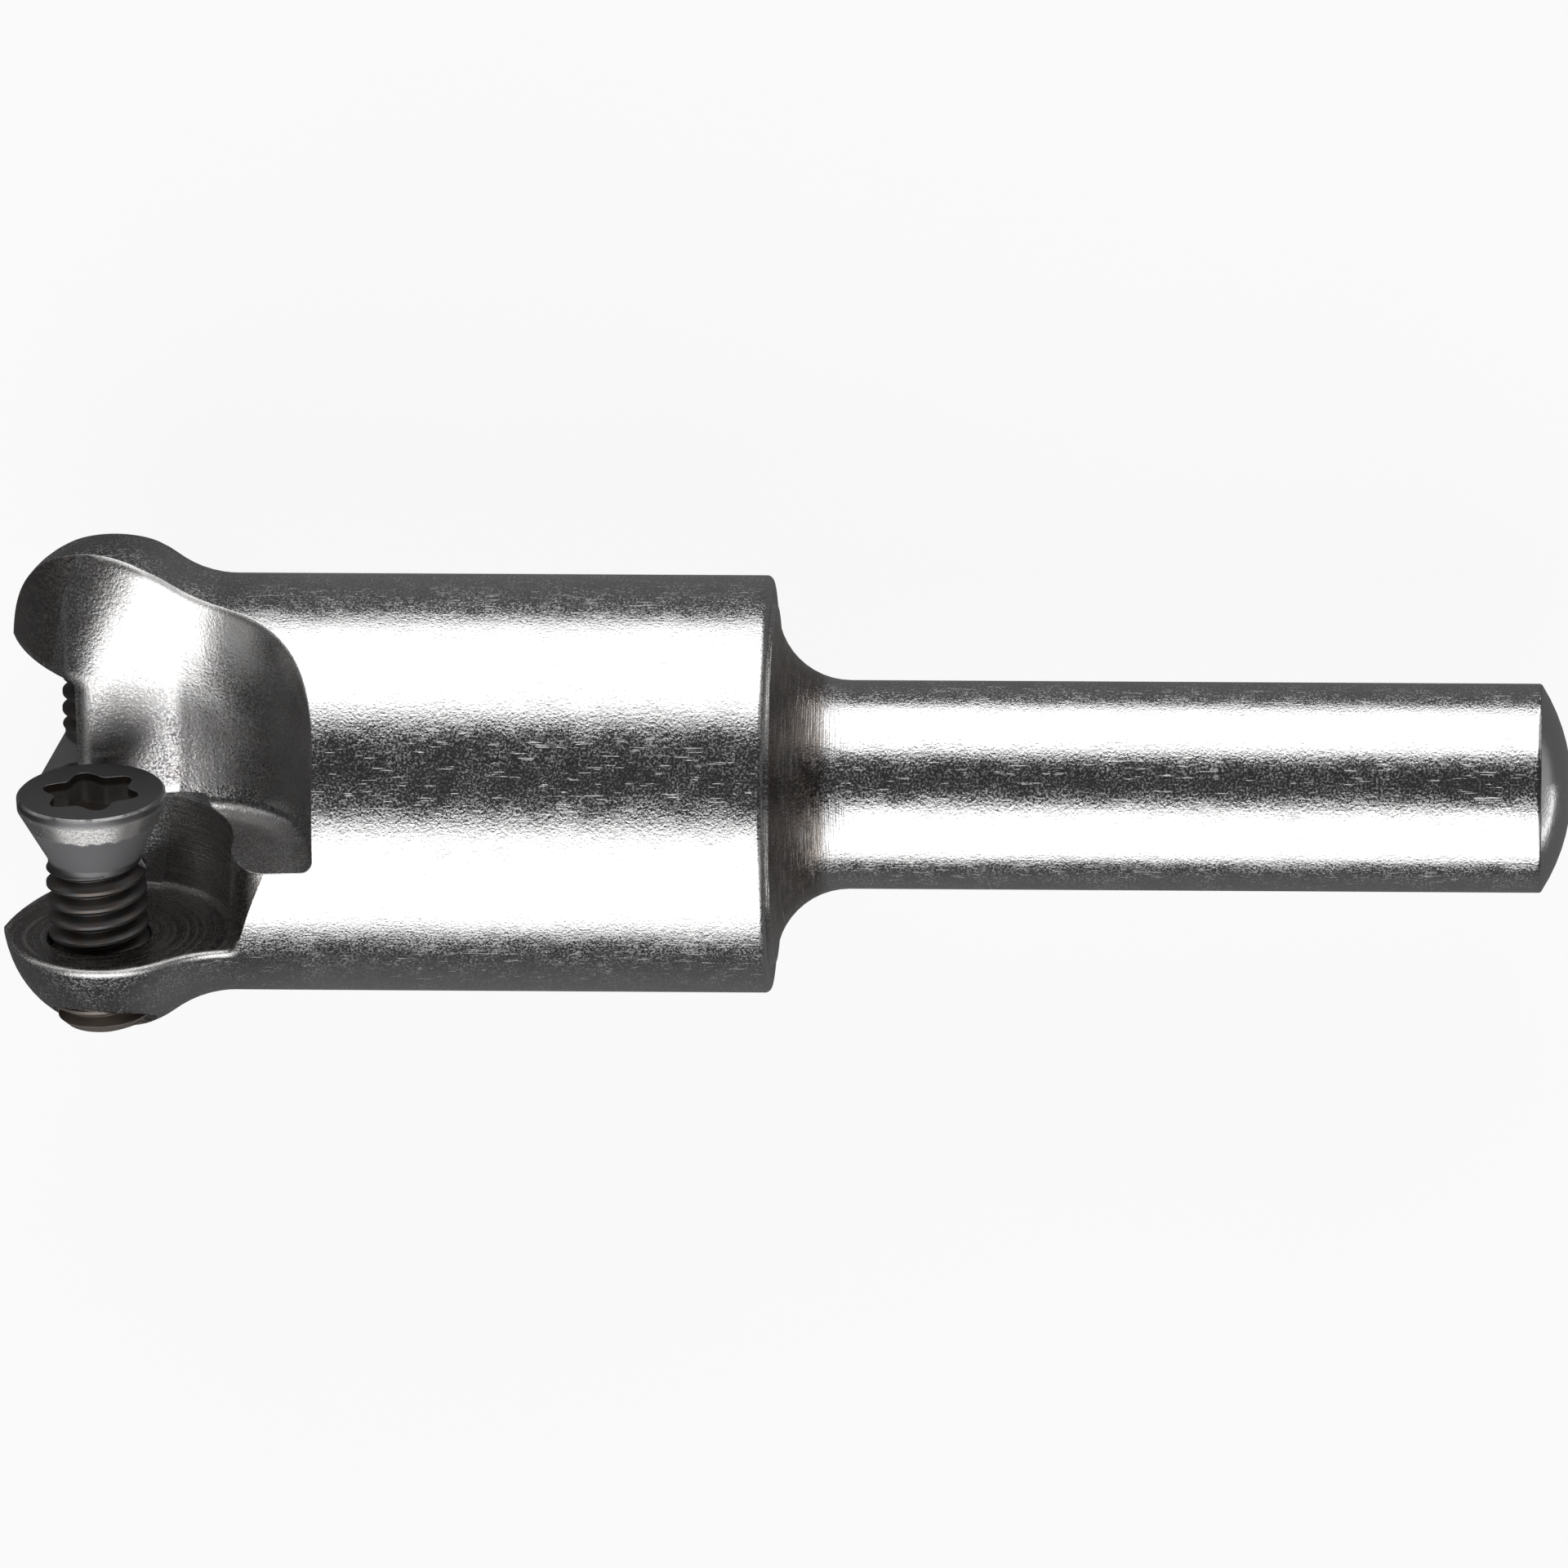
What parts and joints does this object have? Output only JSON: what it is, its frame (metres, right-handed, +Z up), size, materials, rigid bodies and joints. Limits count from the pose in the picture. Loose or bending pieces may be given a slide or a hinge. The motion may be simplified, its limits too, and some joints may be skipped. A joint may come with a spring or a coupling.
{
  "type": "indexable milling cutter",
  "caption": "Small straight-shank milling cutter with a flared head, open chip gullets and round insert pockets with raised star-recess screws.",
  "frame": {"origin": "tool axis at the middle of the straight shank", "axes": "+X along the tool axis towards the shank end, +Z up, with both gullets clear of the surface that the body lies on"},
  "size_m": [0.06, 0.0191, 0.016],
  "materials": {
    "cutter_body": "bright plated steel with fine turning and milling marks",
    "insert_screw": "dark phosphated steel, rubbed brighter on the head's rim"
  },
  "bodies": {
    "root": {"cutter_body": "cutter_body", "insert_screw_1": "insert_screw", "insert_screw_2": "insert_screw"}
  },
  "joints": []
}
